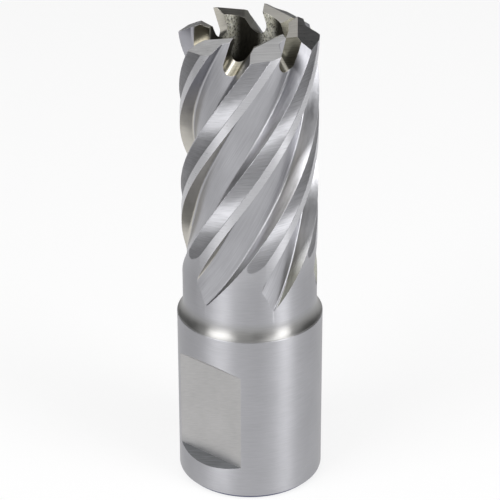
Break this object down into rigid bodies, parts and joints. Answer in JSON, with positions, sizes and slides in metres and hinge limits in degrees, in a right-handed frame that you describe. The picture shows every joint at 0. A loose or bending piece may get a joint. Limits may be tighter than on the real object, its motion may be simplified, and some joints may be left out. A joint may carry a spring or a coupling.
{
  "type": "annular cutter",
  "caption": "Annular cutter with a straight flatted shank, a hollow neck fillet, right-hand helical flutes, stepped end teeth and a slug bore behind a pilot hole.",
  "frame": {"origin": "centre of the shank's end face, on which the cutter stands", "axes": "+Z along the cutter's axis towards the teeth, -Y out of the first drive flat, -X out of the second"},
  "size_m": [0.019, 0.019, 0.0638],
  "materials": {
    "ground_steel": "ground"
  },
  "bodies": {
    "root": {"annular_cutter": "ground_steel"}
  },
  "joints": []
}
